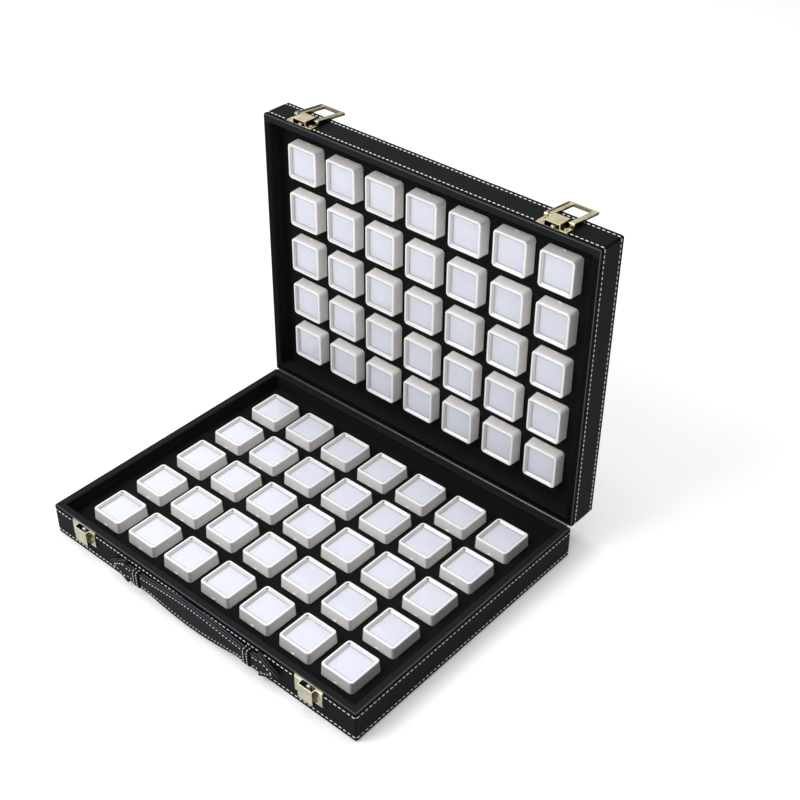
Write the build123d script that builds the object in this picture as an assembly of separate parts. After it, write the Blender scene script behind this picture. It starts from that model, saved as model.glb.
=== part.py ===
from build123d import *
from math import cos, pi, radians, sin
import os

# Jewelry storage box: a hinged case of leather-covered boards whose base and
# lid each hold a pad with square pockets for small gem boxes.
# Millimetres. +Z is up, -Y is the front with the latches and the handle, and
# +Y is the hinged back. The origin is the centre of the base's underside.
# The case is modelled open: the lid stands on its hinge stop and both hasps
# are swung back on the lid.

# Case, outer sizes
case_length = 311.4
case_depth = 237.0
rim_gap = 0.4
open_angle = 90.8

# Case, walls and coverings
board = 5.0
panel = 2.5
leather = 0.8
corner_radius = 1.8
edge_radius = 1.4
rim_outer_radius = 0.9
rim_inner_radius = 1.5
lining_corner_radius = 1.2

# Pads and their pockets
pad_above_cup = 0.8
foam_under_box = 1.9
pad_cover = 0.6
pad_side_clearance = 0.2
columns = 7
rows = 5
end_column_inset = 36.15
front_row_inset = 34.1
back_row_inset = 37.3
pocket_clearance = 0.3

# Gem boxes
box_below_rim = 3.6
box_height = 18.0
box_width = 30.0
box_corner_radius = 3.0
box_wall = 1.2
cup_height = 7.8
cup_neck_height = 3.0
lid_seam_gap = 0.1
lid_skirt_width = 30.2
lid_top_width = 29.2
lid_inner_width = 27.6
lid_top_radius = 0.9
neck_clearance = 0.15
window_opening = 23.0
window_mouth = 24.4
window_depth = 1.4
window_thickness = 1.0
window_clearance = 0.1
cushion_clearance = 0.3
tab_width = 3.0
tab_height = 0.8
tab_reach = 0.5
tab_above_pad = 0.3

# The gem box in each half that lifts out on its own: column and row, from 0
sample_cell = (6, 0)

# Latches
left_latch_inset = 36.2
right_latch_inset = 41.7
plate_width = 26.0
plate_thickness = 0.5
strip_width = 25.2
strip_thickness = 0.6
bridge_width = 13.4
bridge_standoff = 4.5
bridge_corner_radius = 0.4
keeper_top = 1.6
keeper_length = 12.6
keeper_plate_margin = 0.3
lip_angle = 45.0
lip_clearance = 0.03
latch_bridge_top = 2.2
latch_bridge_length = 11.8
latch_flange_length = 6.2
latch_plate_margin = 0.4
rivet_radius = 0.9
rivet_head_radius = 1.5
rivet_head_height = 0.5
centre_rivet_head_radius = 2.2
centre_rivet_head_height = 1.1
rivet_length = 4.2
rivet_head_rounding = 0.8
rivet_clearance = 0.05
flange_rivet_offset = 9.6
keeper_flange_rivet_depth = 7.6
keeper_centre_rivet_depth = 4.2
latch_flange_rivet_depth = 5.0
latch_centre_rivet_depth = 4.6

# Hasps: heights above the case front, and lengths from the pin they swing on
hasp_pin_depth = 11.5
hasp_pin_standoff = 2.7
hasp_pin_radius = 0.6
hasp_pin_clearance = 0.05
hasp_width = 24.8
hasp_window_width = 15.0
hasp_outer = 3.8
hasp_rail_inner = 1.9
hasp_skirt_inner = 1.3
hasp_skirt_width = 1.0
hasp_edge_radius = 1.1
hasp_hook_clearance = 0.2
hasp_bar = 1.8
hasp_knuckle_length = 3.0
hasp_knuckle_radius = 1.5
hasp_lift_length = 2.8
hasp_lift_thickness = 0.9
hasp_lift_angle = 30.0
hasp_swing = 186.0

# Back hinge
hinge_end_inset = 3.7
knuckle_count = 19
knuckle_gap = 0.3
hinge_pin_radius = 0.9
hinge_bore_clearance = 0.05
barrel_radius = 1.6
barrel_clearance = 0.3
leaf_thickness = 0.6
leaf_width = 5.2
stop_lug_width = 12.0
stop_lug_reach = 6.5
stop_lug_thickness = 1.2
stop_lug_clearance = 0.1
stop_lug_knuckles = (3, 15)
screw_count = 6
screw_end_inset = 16.0
screw_radius = 0.8
screw_head_radius = 1.5
screw_length = 8.0

# Handle
handle_height = 14.3
strap_clearance = 0.4
neck_half_width = 5.4
middle_half_width = 9.7
strap_taper_end = 60.0
strap_edge = 3.2
neck_thickness = 3.6
middle_thickness = 4.0
strap_bow = 0.4
strap_stations = 8
arrow_shoulder = 69.5
arrow_half_width = 8.9
arrow_barb = 1.4
arrow_tip = 85.5
arrow_thickness = 3.6
arrow_edge_radius = 0.7
loop_place = 57.5
loop_width = 7.0
loop_thickness = 0.8
loop_side_clearance = 1.2
loop_front_clearance = 0.4
loop_corner_radius = 1.6

# Worked-out sizes
panel_top = leather + panel
base_height = panel_top + foam_under_box + box_height + box_below_rim
lid_height = base_height
pad_below_rim = box_below_rim + box_height - cup_height - pad_above_cup
half_length = case_length / 2
half_depth = case_depth / 2
column_pitch = (case_length - 2 * end_column_inset) / (columns - 1)
row_pitch = (case_depth - front_row_inset - back_row_inset) / (rows - 1)
latch_places = {"left": left_latch_inset - half_length, "right": half_length - right_latch_inset}
hinge_length = case_length - 2 * hinge_end_inset
screw_pitch = (hinge_length - 2 * screw_end_inset) / (screw_count - 1)
screw_places = [(n - (screw_count - 1) / 2) * screw_pitch for n in range(screw_count)]
rim_width = board + 2 * leather
hinge_height = base_height + rim_gap / 2
closed_height = base_height + rim_gap + lid_height
pocket_width = lid_skirt_width + 2 * pocket_clearance
neck_width = lid_inner_width - 2 * neck_clearance
hollow_width = neck_width - 2 * box_wall
hinge_axis = Axis((0, half_depth, hinge_height), (1, 0, 0))
hasp_axis_height = base_height + rim_gap + hasp_pin_depth
hasp_axis = Axis((0, -half_depth - hasp_pin_standoff, hasp_axis_height), (1, 0, 0))
hook_height = base_height - keeper_top - keeper_length - hasp_hook_clearance


def rounded_block(length, depth, bottom, top, radius=0.0):
    """A block centred on the Z axis with rounded upright edges."""
    outline = RectangleRounded(length, depth, radius) if radius else Rectangle(length, depth)
    return Pos(0, 0, bottom) * extrude(outline, top - bottom)


def slab(x_range, y_range, z_range):
    """A plain block between two corners."""
    size = [high - low for low, high in (x_range, y_range, z_range)]
    centre = [(high + low) / 2 for low, high in (x_range, y_range, z_range)]
    return Pos(*centre) * Box(*size)


def rod(start, end, radius):
    """A cylinder between two points on a line along one axis."""
    line = Vector(*end) - Vector(*start)
    plane = Plane(origin=start, z_dir=line)
    return extrude(plane * Circle(radius), line.length)


def edges_at_height(shape, height):
    """The edges that lie flat at one height."""
    return shape.edges().filter_by_position(Axis.Z, height - 0.01, height + 0.01)


def group(solids):
    """Separate solids kept together in one node."""
    return Compound(children=list(solids))


# The case halves are alike. Each is built with its outer face down at z = 0
# and its rim up at z = height, and the lid is turned over afterwards.


def wooden_shell(height):
    """Boards and panel as one blank, before they are parted."""
    length = case_length - 2 * leather
    depth = case_depth - 2 * leather
    blank = rounded_block(length, depth, leather, height - leather, corner_radius - leather)
    blank = fillet(edges_at_height(blank, leather), edge_radius - leather)
    cavity = rounded_block(length - 2 * board, depth - 2 * board, panel_top, height)
    return blank - cavity


def hinge_rebate(height, radius):
    """The round groove along the back rim that the hinge barrel lies in."""
    ends = hinge_length / 2 + barrel_clearance
    z = height + rim_gap / 2
    return rod((-ends, half_depth, z), (ends, half_depth, z), radius)


def leaf_mortise(height):
    """The shallow seat for a hinge leaf on top of the back board."""
    top = height - leather
    ends = hinge_length / 2
    y_range = (half_depth - leaf_width, half_depth)
    return slab((-ends, ends), y_range, (top - leaf_thickness, top + leather / 2))


def screw_shanks(height):
    """Holes for the hinge screws in the back board."""
    top = height - leather
    y = half_depth - leaf_width + leaf_width / 2 - leather / 2
    return [rod((x, y, top - screw_length), (x, y, top), screw_radius) for x in screw_places]


def rivet_spots(height, centre_depth, flange_depth):
    """The rivets of both latches: x, z, metal under the head, head radius and height."""
    spots = []
    for place in latch_places.values():
        spots.append((place, height - centre_depth, plate_thickness,
                      centre_rivet_head_radius, centre_rivet_head_height))
        for side in (-1, 1):
            stack = plate_thickness + strip_thickness
            spots.append((place + side * flange_rivet_offset, height - flange_depth, stack,
                          rivet_head_radius, rivet_head_height))
    return spots


def rivet_holes(spots, clearance):
    """Holes through the front covering and into the front board."""
    return [rod((x, -half_depth + rivet_length, z), (x, -half_depth - 2 * stack, z),
                rivet_radius + clearance) for x, z, stack, _, _ in spots]


def rivets(spots):
    """Round-headed rivets, each seated on the metal below its head."""
    made = []
    for x, z, stack, head_radius, head_height in spots:
        seat = -half_depth - stack
        shank = rod((x, -half_depth + rivet_length, z), (x, seat, z), rivet_radius)
        head = rod((x, seat, z), (x, seat - head_height, z), head_radius)
        rim = head.edges().group_by(Axis.Y)[0]
        made.append(shank + fillet(rim, head_height * rivet_head_rounding))
    return group(made)


def boards(height, spots):
    """The four wall boards and the panel that closes the half."""
    wood = wooden_shell(height)
    wood -= hinge_rebate(height, barrel_radius + barrel_clearance)
    wood -= leaf_mortise(height)
    for hole in screw_shanks(height) + rivet_holes(spots, rivet_clearance):
        wood -= hole
    inner_x = half_length - leather - board
    inner_y = half_depth - leather - board
    reach = case_length
    return {
        "front_board": wood & slab((-reach, reach), (-reach, -inner_y), (0, height)),
        "back_board": wood & slab((-reach, reach), (inner_y, reach), (0, height)),
        "left_board": wood & slab((-reach, -inner_x), (-inner_y, inner_y), (0, height)),
        "right_board": wood & slab((inner_x, reach), (-inner_y, inner_y), (0, height)),
        "panel": wood & slab((-inner_x, inner_x), (-inner_y, inner_y), (0, panel_top)),
    }


def coverings(height, spots):
    """The leather band round the walls and over the rim, and the outer face."""
    outer = rounded_block(case_length, case_depth, 0, height, corner_radius)
    outer = fillet(edges_at_height(outer, 0), edge_radius)
    outer = fillet(edges_at_height(outer, height), rim_outer_radius)
    inner_length = case_length - 2 * rim_width
    inner_depth = case_depth - 2 * rim_width
    ring = outer - rounded_block(inner_length, inner_depth, panel_top, height + 1,
                                 lining_corner_radius)
    lining = [edge for edge in edges_at_height(ring, height)
              if abs(edge.center().X) < inner_length / 2 + 0.01
              and abs(edge.center().Y) < inner_depth / 2 + 0.01]
    ring = fillet(lining, rim_inner_radius)
    skin = ring - wooden_shell(height)
    skin -= hinge_rebate(height, barrel_radius + barrel_clearance)
    for hole in rivet_holes(spots, rivet_clearance):
        skin -= hole
    reach = case_length
    below = slab((-reach, reach), (-reach, reach), (-1, edge_radius))
    return {"side_leather": skin - below, "face_leather": skin & below}


def cells():
    """Column, row and centre of every pocket."""
    for column in range(columns):
        for row in range(rows):
            x = (column - (columns - 1) / 2) * column_pitch
            y = -half_depth + front_row_inset + row * row_pitch
            yield (column, row), x, y


def pad(height):
    """The foam block with a pocket for each gem box, and its flocked cover."""
    length = case_length - 2 * rim_width - pad_side_clearance
    depth = case_depth - 2 * rim_width - pad_side_clearance
    top = height - pad_below_rim
    floor = panel_top + foam_under_box
    foam = rounded_block(length, depth, panel_top, top - pad_cover, lining_corner_radius)
    cover = rounded_block(length, depth, top - pad_cover, top, lining_corner_radius)
    pocket = rounded_block(pocket_width, pocket_width, 0, height, box_corner_radius)
    pockets = [Pos(x, y, floor) * pocket for _, x, y in cells()]
    return {"foam": foam - pockets, "pad_cover": cover - pockets}


# Gem box, built with its underside at z = 0


def box_cup():
    """The lower part, with the neck that the lid slides over."""
    body = rounded_block(box_width, box_width, 0, cup_height, box_corner_radius)
    neck = rounded_block(neck_width, neck_width, 0, cup_height + cup_neck_height,
                         box_corner_radius - box_wall)
    hollow = rounded_block(hollow_width, hollow_width, box_wall, box_height,
                           box_corner_radius - 2 * box_wall)
    return body + neck - hollow


def box_lid(tab_bottom):
    """The lid: tapered skirt, rounded top edge and a sunk square opening."""
    bottom = cup_height + lid_seam_gap
    top = box_height
    roof = top - window_depth
    sections = [Pos(0, 0, z) * RectangleRounded(w, w, box_corner_radius)
                for z, w in ((bottom, lid_skirt_width), (top, lid_top_width))]
    shell = loft(sections)
    shell = fillet(edges_at_height(shell, top), lid_top_radius)
    shell -= rounded_block(lid_inner_width, lid_inner_width, bottom, roof,
                           box_corner_radius - box_wall)
    mouth = [Pos(0, 0, z) * RectangleRounded(w, w, box_wall)
             for z, w in ((roof, window_opening), (top, window_mouth))]
    shell -= loft(mouth)
    front = -lid_skirt_width / 2
    tab = slab((-tab_width / 2, tab_width / 2), (front - tab_reach, front + box_wall),
               (tab_bottom, tab_bottom + tab_height))
    return shell + tab


def box_window():
    """The clear square pane under the lid's opening."""
    roof = box_height - window_depth
    width = lid_inner_width - 2 * window_clearance
    return rounded_block(width, width, roof - window_thickness, roof, box_corner_radius - box_wall)


def box_cushion():
    """The white foam that holds a gem up against the pane."""
    width = hollow_width - 2 * cushion_clearance
    top = box_height - window_depth - window_thickness - cushion_clearance
    return rounded_block(width, width, box_wall, top, box_corner_radius - 2 * box_wall)


def gem_boxes(height):
    """All gem boxes of a half by kind of piece, and the one that lifts out."""
    lift = height - box_below_rim - box_height
    tab_at = height - pad_below_rim + tab_above_pad - lift
    pieces = {"cup": box_cup(), "cushion": box_cushion(),
              "lid": box_lid(tab_at), "window": box_window()}
    fixed, sample = {}, {}
    for name, piece in pieces.items():
        spots = {cell: Pos(x, y, lift) * piece for cell, x, y in cells()}
        sample[f"sample_{name}"] = spots.pop(sample_cell)
        fixed[f"box_{name}s"] = group(spots.values())
    return fixed, sample


# Latch metal. Depths are measured down from the rim of a half.


def hat_strip(place, top, flange_length, length):
    """A strip bent into a raised bridge between two flanges."""
    low, high = plate_thickness, plate_thickness + strip_thickness
    half_strip = strip_width / 2
    half_bridge = bridge_width / 2
    flanges = slab((place - half_strip, place + half_strip),
                   (-half_depth - high, -half_depth - low), (top - flange_length, top))
    bridge = slab((place - half_bridge, place + half_bridge),
                  (-half_depth - bridge_standoff, -half_depth - low), (top - length, top))
    corners = bridge.edges().filter_by(Axis.Z).group_by(Axis.Y)[0]
    bridge = fillet(corners, bridge_corner_radius)
    inner = half_bridge - strip_thickness
    tunnel = slab((place - inner, place + inner),
                  (-half_depth - bridge_standoff + strip_thickness, -half_depth),
                  (top - length - 1, top + 1))
    return flanges + bridge - tunnel


def keeper_plate(place):
    """The back plate of a keeper, with its upper edge bent over the rim."""
    bend = rim_outer_radius
    top = base_height - bend
    bottom = base_height - keeper_top - keeper_length - keeper_plate_margin
    x_range = (place - plate_width / 2, place + plate_width / 2)
    plate = slab(x_range, (-half_depth - plate_thickness, -half_depth), (bottom, top))
    inner = bend + lip_clearance
    outer = bend + plate_thickness

    def on_bend(radius, angle):
        return (-half_depth + bend - radius * cos(angle), top + radius * sin(angle))

    turn = radians(lip_angle)
    wire = [ThreePointArc(on_bend(inner, 0), on_bend(inner, turn / 2), on_bend(inner, turn)),
            Line(on_bend(inner, turn), on_bend(outer, turn)),
            ThreePointArc(on_bend(outer, turn), on_bend(outer, turn / 2), on_bend(outer, 0)),
            Line(on_bend(outer, 0), on_bend(inner, 0))]
    yz = Plane(origin=(x_range[0], 0, 0), x_dir=(0, 1, 0), z_dir=(1, 0, 0))
    lip = extrude(yz * make_face(wire), plate_width)
    return plate + lip


def latch_plate(place):
    """The back plate under a latch bridge on the lid."""
    top = lid_height - latch_bridge_top + latch_plate_margin
    bottom = lid_height - latch_bridge_top - latch_bridge_length - latch_plate_margin
    x_range = (place - plate_width / 2, place + plate_width / 2)
    return slab(x_range, (-half_depth - plate_thickness, -half_depth), (bottom, top))


def pin_rod(place, radius, half_width):
    """A rod along the axis that a hasp swings on, in the lid's own frame."""
    y = -half_depth - hasp_pin_standoff
    z = lid_height - hasp_pin_depth
    return rod((place - half_width, y, z), (place + half_width, y, z), radius)


def latch_bridge(place):
    """The raised bridge on the lid, bored for the hasp's pin."""
    strip = hat_strip(place, lid_height - latch_bridge_top, latch_flange_length, latch_bridge_length)
    return strip - pin_rod(place, hasp_pin_radius, hasp_width)


def drilled(piece, spots):
    """A plate or strip with the rivet holes cut through it."""
    for hole in rivet_holes(spots, rivet_clearance):
        piece -= hole
    return piece


def hasp(place):
    """The hasp in its closed position: two rails, a hooking bar and a finger lift."""
    axis_y = -half_depth - hasp_pin_standoff
    half = hasp_width / 2
    front = -half_depth - hasp_outer
    bar_end = hook_height - hasp_bar
    frame = slab((place - half, place + half), (front, -half_depth - hasp_skirt_inner),
                 (bar_end, hasp_axis_height))
    frame = fillet(frame.edges().filter_by(Axis.Z).group_by(Axis.Y)[0], hasp_edge_radius)
    window = hasp_window_width / 2
    frame -= slab((place - window, place + window), (front - 1, 0), (hook_height, closed_height))
    inner = half - hasp_skirt_width
    frame -= slab((place - inner, place + inner), (-half_depth - hasp_rail_inner, 0),
                  (hook_height, closed_height))
    tongue = extrude(Ellipse(half - hasp_edge_radius, hasp_lift_length), hasp_lift_thickness)
    tongue &= slab((-half, half), (-hasp_lift_length, 0), (0, hasp_lift_thickness))
    turn = radians(hasp_lift_angle)
    corner = Plane(origin=(place, front, bar_end + hasp_lift_thickness / 2), x_dir=(1, 0, 0),
                   z_dir=(0, cos(turn), -sin(turn)))
    lift = corner * (Rot(0, 0, 180) * tongue)
    body = frame + lift
    for side in (-1, 1):
        outer_end = (place + side * half, axis_y, hasp_axis_height)
        inner_end = (place + side * (half - hasp_knuckle_length), axis_y, hasp_axis_height)
        body += rod(outer_end, inner_end, hasp_knuckle_radius)
    bore = hasp_pin_radius + hasp_pin_clearance
    body -= rod((place - hasp_width, axis_y, hasp_axis_height),
                (place + hasp_width, axis_y, hasp_axis_height), bore)
    return body


# Back hinge, built closed in the case's frame


def knuckle_spans():
    """Start and end of every knuckle along the hinge."""
    pitch = hinge_length / knuckle_count
    for n in range(knuckle_count):
        start = -hinge_length / 2 + n * pitch
        yield n, start + knuckle_gap / 2, start + pitch - knuckle_gap / 2


def hinge_leaf(own, up, bore):
    """A leaf with its own share of the knuckles; up is 1 on the lid, -1 on the base."""
    y, z = half_depth, hinge_height
    face = z + up * (barrel_radius - leaf_thickness)
    back = z + up * barrel_radius
    z_range = (min(face, back), max(face, back))
    ends = hinge_length / 2
    leaf = slab((-ends, ends), (y - leaf_width, y), z_range)
    clear = barrel_radius + barrel_clearance
    for n, start, end in knuckle_spans():
        if n % 2 == own:
            leaf += rod((start, y, z), (end, y, z), barrel_radius)
        else:
            margin = knuckle_gap
            leaf -= slab((start - margin, end + margin), (y - clear, y + clear),
                         (z_range[0] - 1, z_range[1] + 1))
    leaf -= rod((-ends - 1, y, z), (ends + 1, y, z), bore)
    return leaf


def stop_lugs():
    """Lugs on the lid's knuckles that meet the back of the base when it is open."""
    y = half_depth + hinge_pin_radius + 2 * hinge_bore_clearance
    z = hinge_height + stop_lug_clearance
    lugs = []
    for n, start, end in knuckle_spans():
        if n in stop_lug_knuckles:
            middle = (start + end) / 2
            lugs.append(slab((middle - stop_lug_width / 2, middle + stop_lug_width / 2),
                             (y, half_depth + stop_lug_reach), (z, z + stop_lug_thickness)))
    return lugs


def hinge_screws(height):
    """Flat-headed screws through a leaf into the back board."""
    top = height - leather
    made = []
    for shank in screw_shanks(height):
        centre = shank.center()
        head = rod((centre.X, centre.Y, top - leaf_thickness), (centre.X, centre.Y, top),
                   screw_head_radius)
        made.append(shank + head)
    return group(made)


def screw_head_holes(height, piece):
    """Countersinks for the screw heads in a leaf that lies in a half's own frame."""
    for shank in screw_shanks(height):
        centre = shank.center()
        piece -= rod((centre.X, centre.Y, height - 2 * leather - leaf_thickness),
                     (centre.X, centre.Y, height), screw_head_radius)
    return piece


# Handle


def strap_share(x):
    """How far a section lies towards the strap's wide middle, from 0 to 1."""
    return cos(pi * x / (2 * strap_taper_end)) ** 2


def strap_section(x):
    """The strap's section at x: flat back, thin edges and a crowned front."""
    share = strap_share(x)
    half = neck_half_width + (middle_half_width - neck_half_width) * share
    thick = neck_thickness + (middle_thickness - neck_thickness) * share
    back = half_depth + strap_clearance + strap_bow * share
    plane = Plane(origin=(x, -back, handle_height), x_dir=(0, -1, 0), z_dir=(1, 0, 0))
    corners = [(0, -half), (0, half), (strap_edge, half), (strap_edge, -half)]
    wire = [Line(corners[0], corners[1]), Line(corners[1], corners[2]),
            ThreePointArc(corners[2], (thick, 0), corners[3]), Line(corners[3], corners[0])]
    return plane * make_face(wire)


def arrow_end(side):
    """The neck and the arrowhead that keeps the strap in its loops."""
    outline = [(strap_taper_end, neck_half_width), (arrow_shoulder + arrow_barb, neck_half_width),
               (arrow_shoulder, arrow_half_width), (arrow_tip, 0),
               (arrow_shoulder, -arrow_half_width),
               (arrow_shoulder + arrow_barb, -neck_half_width),
               (strap_taper_end, -neck_half_width)]
    points = [(side * x, z) for x, z in outline]
    plane = Plane(origin=(0, -half_depth - strap_clearance, handle_height),
                  x_dir=(1, 0, 0), z_dir=(0, -1, 0))
    flat = extrude(plane * make_face(Polyline(*points, close=True)), arrow_thickness)
    front = flat.edges().group_by(Axis.Y)[0]
    front = [e for e in front if abs(e.center().X - side * strap_taper_end) > 0.01]
    return fillet(front, arrow_edge_radius)


def handle_strap():
    """The padded strap with both arrow ends."""
    step = 2 * strap_taper_end / strap_stations
    sections = [strap_section(-strap_taper_end + n * step) for n in range(strap_stations + 1)]
    strap = loft(sections)
    for side in (-1, 1):
        strap += arrow_end(side)
    return strap


def handle_loop(side):
    """A loop of leather over the strap's neck, with both ends at the case front."""
    x_range = (side * loop_place - loop_width / 2, side * loop_place + loop_width / 2)
    inner_half = neck_half_width + loop_side_clearance
    inner_front = strap_clearance + neck_thickness + loop_front_clearance
    outer_half = inner_half + loop_thickness
    outer = slab(x_range, (-half_depth - inner_front - loop_thickness, -half_depth),
                 (handle_height - outer_half, handle_height + outer_half))
    corners = outer.edges().filter_by(Axis.X).group_by(Axis.Y)[0]
    outer = fillet(corners, loop_corner_radius)
    hole = slab((x_range[0] - 1, x_range[1] + 1), (-half_depth - inner_front, -half_depth + 1),
                (handle_height - inner_half, handle_height + inner_half))
    corners = hole.edges().filter_by(Axis.X).group_by(Axis.Y)[0]
    return outer - fillet(corners, loop_corner_radius - loop_thickness)


# Placing the lid: turned over onto the base, then opened on the hinge


def turned_over(piece):
    """From the half's own frame to its place on the closed case."""
    return Pos(0, 0, closed_height) * mirror(piece, Plane.XY)


def opened(piece):
    """From the closed case to the lid's open position."""
    return piece.rotate(hinge_axis, -open_angle)


def swung_back(piece):
    """A hasp swung from its closed place back over the lid."""
    return piece.rotate(hasp_axis, -hasp_swing)


def build():
    """Every node of the box by name, in its place with the case open."""
    nodes = {}
    keeper_spots = rivet_spots(base_height, keeper_centre_rivet_depth, keeper_flange_rivet_depth)
    latch_spots = rivet_spots(lid_height, latch_centre_rivet_depth, latch_flange_rivet_depth)

    for half, height, spots in (("base", base_height, keeper_spots),
                                ("lid", lid_height, latch_spots)):
        pieces = {}
        pieces.update(boards(height, spots))
        pieces.update(coverings(height, spots))
        pieces.update(pad(height))
        fixed, sample = gem_boxes(height)
        pieces.update(fixed)
        pieces.update(sample)
        for name, piece in pieces.items():
            whole = f"{half}_{name}"
            nodes[whole] = piece if half == "base" else opened(turned_over(piece))

    for side, place in latch_places.items():
        nodes[f"keeper_plate_{side}"] = drilled(keeper_plate(place), keeper_spots)
        strip = hat_strip(place, base_height - keeper_top, keeper_length, keeper_length)
        nodes[f"keeper_bridge_{side}"] = drilled(strip, keeper_spots)
        plate = drilled(latch_plate(place), latch_spots)
        nodes[f"latch_plate_{side}"] = opened(turned_over(plate))
        bridge = drilled(latch_bridge(place), latch_spots)
        nodes[f"latch_bridge_{side}"] = opened(turned_over(bridge))
        pin = pin_rod(place, hasp_pin_radius, hasp_width / 2)
        nodes[f"hasp_pin_{side}"] = opened(turned_over(pin))
        nodes[f"hasp_{side}"] = opened(swung_back(hasp(place)))
    nodes["keeper_rivets"] = rivets(keeper_spots)
    nodes["latch_rivets"] = opened(turned_over(rivets(latch_spots)))

    base_leaf = hinge_leaf(0, -1, hinge_pin_radius)
    nodes["hinge_base_leaf"] = screw_head_holes(base_height, base_leaf)
    lid_leaf = hinge_leaf(1, 1, hinge_pin_radius + hinge_bore_clearance)
    for lug in stop_lugs():
        lid_leaf += lug
    lid_leaf = turned_over(screw_head_holes(lid_height, turned_over(lid_leaf)))
    nodes["hinge_lid_leaf"] = opened(lid_leaf)
    ends = hinge_length / 2
    nodes["hinge_pin"] = rod((-ends, half_depth, hinge_height), (ends, half_depth, hinge_height),
                             hinge_pin_radius)
    nodes["hinge_base_screws"] = hinge_screws(base_height)
    nodes["hinge_lid_screws"] = opened(turned_over(hinge_screws(lid_height)))

    nodes["handle_strap"] = handle_strap()
    nodes["handle_loop_left"] = handle_loop(-1)
    nodes["handle_loop_right"] = handle_loop(1)
    return nodes


os.makedirs("parts", exist_ok=True)
for node, shape in build().items():
    export_step(shape, f"parts/{node}.step")
    print(node, "solids", len(shape.solids()))
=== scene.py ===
# %% [markdown]
# # A jewelry storage box
# The object is a hinged case covered in black leatherette. Its base and its
# lid each hold a black flocked pad with seven by five white gem boxes. Two
# pale gold hasps and a padded strap are on the front. The solid model comes
# in first as a fixed frame. This lesson gives its parts their finishes and
# adds what a solid model leaves out: sewing, padding, rounded metal edges.

# %% Load the frame
from math import cos, pi, radians, sin, sqrt

import bpy
from mathutils import Matrix, Vector


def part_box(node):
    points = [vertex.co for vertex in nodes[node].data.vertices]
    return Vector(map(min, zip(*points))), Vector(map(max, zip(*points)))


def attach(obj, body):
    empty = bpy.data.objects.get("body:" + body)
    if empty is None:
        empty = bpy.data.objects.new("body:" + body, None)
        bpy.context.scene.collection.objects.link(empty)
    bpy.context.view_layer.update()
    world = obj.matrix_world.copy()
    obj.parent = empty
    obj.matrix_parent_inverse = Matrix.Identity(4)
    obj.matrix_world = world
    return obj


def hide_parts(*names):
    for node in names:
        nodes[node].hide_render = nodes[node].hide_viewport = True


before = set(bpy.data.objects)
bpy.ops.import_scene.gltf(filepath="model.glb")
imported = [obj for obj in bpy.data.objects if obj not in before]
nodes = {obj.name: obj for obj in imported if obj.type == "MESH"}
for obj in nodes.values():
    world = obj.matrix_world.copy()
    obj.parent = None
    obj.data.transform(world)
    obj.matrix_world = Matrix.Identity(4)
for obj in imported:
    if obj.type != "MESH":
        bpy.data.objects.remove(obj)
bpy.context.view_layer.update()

# %% [markdown]
# Every place comes from the solid model, so a few sizes are read from it. The
# lid is easiest to think about closed, so it gets one matrix that carries a
# point from the closed case to the open lid.

# %% Case sizes
MM = 0.001
HALF_LENGTH, HALF_DEPTH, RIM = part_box("base_side_leather")[1]
RIM_GAP = 0.4 * MM
OPEN_ANGLE = radians(90.8)
HINGE = Vector((0, HALF_DEPTH, RIM + RIM_GAP / 2))
CLOSED_TOP = 2 * RIM + RIM_GAP
to_open = (Matrix.Translation(HINGE) @ Matrix.Rotation(-OPEN_ANGLE, 4, "X")
           @ Matrix.Translation(-HINGE))
flip = Matrix.Translation((0, 0, CLOSED_TOP)) @ Matrix.Scale(-1, 4, (0, 0, 1))
half_places = {"base": Matrix.Identity(4), "lid": to_open @ flip}
HALVES = tuple(half_places)
SIDES = ("left", "right")
print("half length", HALF_LENGTH, "half depth", HALF_DEPTH, "rim", RIM)

# %% [markdown]
# ## Shader maths
# A leather grain or a brushed metal is a formula. One small class wraps a
# node's socket, so that a formula is written as plain arithmetic, and one
# method adds any other node. The nodes could be set by hand in the editor,
# but a formula is shorter to read and to change.

# %% A socket that can be added and multiplied
class Signal:
    def __init__(self, finish, socket):
        self.finish = finish
        self.socket = socket

    def __add__(self, other):
        return self.finish.maths("ADD", self, other)

    def __sub__(self, other):
        return self.finish.maths("SUBTRACT", self, other)

    def __rsub__(self, other):
        return self.finish.maths("SUBTRACT", other, self)

    def __mul__(self, other):
        return self.finish.maths("MULTIPLY", self, other)

    def __truediv__(self, other):
        return self.finish.maths("DIVIDE", self, other)

    def __abs__(self):
        return self.finish.maths("ABSOLUTE", self)

    __radd__ = __add__
    __rmul__ = __mul__

    def above(self, edge, width):
        """0 below the edge and 1 above it, with a soft step of that width."""
        return self.finish.maths("ADD", (self - edge) / width, 0.5, clamp=True)

    def larger(self, other):
        return self.finish.maths("MAXIMUM", self, other)

    def smaller(self, other):
        return self.finish.maths("MINIMUM", self, other)


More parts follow.
